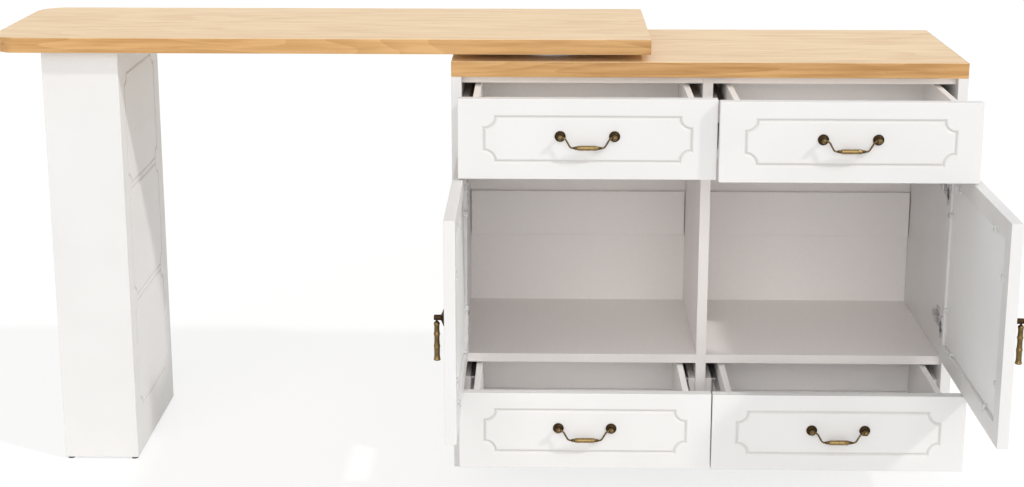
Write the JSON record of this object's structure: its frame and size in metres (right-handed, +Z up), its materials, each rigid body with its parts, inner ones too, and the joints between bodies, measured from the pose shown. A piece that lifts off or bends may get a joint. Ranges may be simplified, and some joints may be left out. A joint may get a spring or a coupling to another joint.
{
  "type": "kitchen island with turning table",
  "caption": "Cabinet with drawers and glazed doors under an oak-look worktop, and a long table that turns on it and stands on a panelled leg.",
  "frame": {"origin": "middle of the cabinet's footprint, on the floor, in the foot of the partition", "axes": "+X to the right along the cabinet's front, +Y to the back, +Z up"},
  "size_m": [1.9112, 0.882, 0.885],
  "materials": {
    "oak_laminate": "satin",
    "white_paint": "satin",
    "pale_board": "satin",
    "plain_wood": "matte",
    "antique_brass": "aged",
    "zinc_steel": "satin",
    "frosted_glass": "frosted",
    "clear_plastic": "satin",
    "nylon": "matte"
  },
  "bodies": {
    "carcass": {"side_panel_left": "white_paint", "side_panel_right": "white_paint", "partition": "white_paint", "worktop": "oak_laminate", "top_rails": "white_paint", "compartment_tops": "white_paint", "compartment_floors": "white_paint", "base_boards": "white_paint", "toe_boards": "white_paint", "back_panel": "white_paint", "back_rails": "white_paint", "runner_battens": "white_paint", "cabinet_runners": "zinc_steel", "hinge_arms": "zinc_steel", "swivel_base": "zinc_steel", "swivel_bolt": "zinc_steel"},
    "table": {"table_top": "oak_laminate", "swivel_top_plate": "zinc_steel", "leg_front": "white_paint", "leg_back": "white_paint", "leg_side_outer": "white_paint", "leg_side_inner": "white_paint", "leg_cleats": "plain_wood", "leg_glides": "nylon"},
    "drawer_upper_left": {"drawer_front_upper_left": "white_paint", "drawer_box_upper_left": "pale_board", "drawer_runners_upper_left": "zinc_steel", "handle_posts_upper_left": "antique_brass"},
    "runner_upper_left": {"middle_runners_upper_left": "zinc_steel"},
    "bail_upper_left": {"handle_bail_upper_left": "antique_brass"},
    "drawer_upper_right": {"drawer_front_upper_right": "white_paint", "drawer_box_upper_right": "pale_board", "drawer_runners_upper_right": "zinc_steel", "handle_posts_upper_right": "antique_brass"},
    "runner_upper_right": {"middle_runners_upper_right": "zinc_steel"},
    "bail_upper_right": {"handle_bail_upper_right": "antique_brass"},
    "drawer_lower_left": {"drawer_front_lower_left": "white_paint", "drawer_box_lower_left": "pale_board", "drawer_runners_lower_left": "zinc_steel", "handle_posts_lower_left": "antique_brass"},
    "runner_lower_left": {"middle_runners_lower_left": "zinc_steel"},
    "bail_lower_left": {"handle_bail_lower_left": "antique_brass"},
    "drawer_lower_right": {"drawer_front_lower_right": "white_paint", "drawer_box_lower_right": "pale_board", "drawer_runners_lower_right": "zinc_steel", "handle_posts_lower_right": "antique_brass"},
    "runner_lower_right": {"middle_runners_lower_right": "zinc_steel"},
    "bail_lower_right": {"handle_bail_lower_right": "antique_brass"},
    "door_left": {"door_frame_left": "white_paint", "door_glass_left": "frosted_glass", "glass_clips_left": "clear_plastic", "hinge_cups_left": "zinc_steel", "pull_post_left": "antique_brass"},
    "pull_left": {"pull_drop_left": "antique_brass"},
    "door_right": {"door_frame_right": "white_paint", "door_glass_right": "frosted_glass", "glass_clips_right": "clear_plastic", "hinge_cups_right": "zinc_steel", "pull_post_right": "antique_brass"},
    "pull_right": {"pull_drop_right": "antique_brass"}
  },
  "joints": [
    {"name": "table_swivel", "type": "hinge", "parent": "carcass", "child": "table", "pos_m": [-0.305, 0, 0.848], "axis": [0, 0, -1], "range_deg": [0, 180]},
    {"name": "drawer_upper_left_slide", "type": "slide", "parent": "carcass", "child": "drawer_upper_left", "axis": [0, -1, 0], "range_m": [-0.199, 0.131]},
    {"name": "runner_upper_left_slide", "type": "slide", "parent": "carcass", "child": "runner_upper_left", "axis": [0, -1, 0], "range_m": [-0.0995, 0.0655]},
    {"name": "bail_upper_left_hinge", "type": "hinge", "parent": "drawer_upper_left", "child": "bail_upper_left", "pos_m": [-0.2395, -0.413, 0.7385], "axis": [-1, 0, 0], "range_deg": [-20, 100]},
    {"name": "drawer_upper_right_slide", "type": "slide", "parent": "carcass", "child": "drawer_upper_right", "axis": [0, -1, 0], "range_m": [-0.218, 0.112]},
    {"name": "runner_upper_right_slide", "type": "slide", "parent": "carcass", "child": "runner_upper_right", "axis": [0, -1, 0], "range_m": [-0.109, 0.056]},
    {"name": "bail_upper_right_hinge", "type": "hinge", "parent": "drawer_upper_right", "child": "bail_upper_right", "pos_m": [0.2395, -0.432, 0.7385], "axis": [-1, 0, 0], "range_deg": [-20, 100]},
    {"name": "drawer_lower_left_slide", "type": "slide", "parent": "carcass", "child": "drawer_lower_left", "axis": [0, -1, 0], "range_m": [-0.223, 0.107]},
    {"name": "runner_lower_left_slide", "type": "slide", "parent": "carcass", "child": "runner_lower_left", "axis": [0, -1, 0], "range_m": [-0.1115, 0.0535]},
    {"name": "bail_lower_left_hinge", "type": "hinge", "parent": "drawer_lower_left", "child": "bail_lower_left", "pos_m": [-0.2395, -0.437, 0.1765], "axis": [-1, 0, 0], "range_deg": [-20, 100]},
    {"name": "drawer_lower_right_slide", "type": "slide", "parent": "carcass", "child": "drawer_lower_right", "axis": [0, -1, 0], "range_m": [-0.225, 0.105]},
    {"name": "runner_lower_right_slide", "type": "slide", "parent": "carcass", "child": "runner_lower_right", "axis": [0, -1, 0], "range_m": [-0.1125, 0.0525]},
    {"name": "bail_lower_right_hinge", "type": "hinge", "parent": "drawer_lower_right", "child": "bail_lower_right", "pos_m": [0.2395, -0.439, 0.1765], "axis": [-1, 0, 0], "range_deg": [-20, 100]},
    {"name": "door_left_hinge", "type": "hinge", "parent": "carcass", "child": "door_left", "pos_m": [-0.486, -0.197, 0.4515], "axis": [0, 0, -1], "range_deg": [-90, 15]},
    {"name": "pull_left_hinge", "type": "hinge", "parent": "door_left", "child": "pull_left", "pos_m": [-0.503, -0.657, 0.4745], "axis": [0, 1, 0], "range_deg": [-5, 100]},
    {"name": "door_right_hinge", "type": "hinge", "parent": "carcass", "child": "door_right", "pos_m": [0.486, -0.197, 0.4515], "axis": [0, 0, 1], "range_deg": [-90, 15]},
    {"name": "pull_right_hinge", "type": "hinge", "parent": "door_right", "child": "pull_right", "pos_m": [0.503, -0.657, 0.4745], "axis": [0, -1, 0], "range_deg": [-5, 100]}
  ],
  "couplings": [
    {"joint": "runner_upper_left_slide", "follows": "drawer_upper_left_slide", "ratio": 0.5},
    {"joint": "runner_upper_right_slide", "follows": "drawer_upper_right_slide", "ratio": 0.5},
    {"joint": "runner_lower_left_slide", "follows": "drawer_lower_left_slide", "ratio": 0.5},
    {"joint": "runner_lower_right_slide", "follows": "drawer_lower_right_slide", "ratio": 0.5}
  ]
}
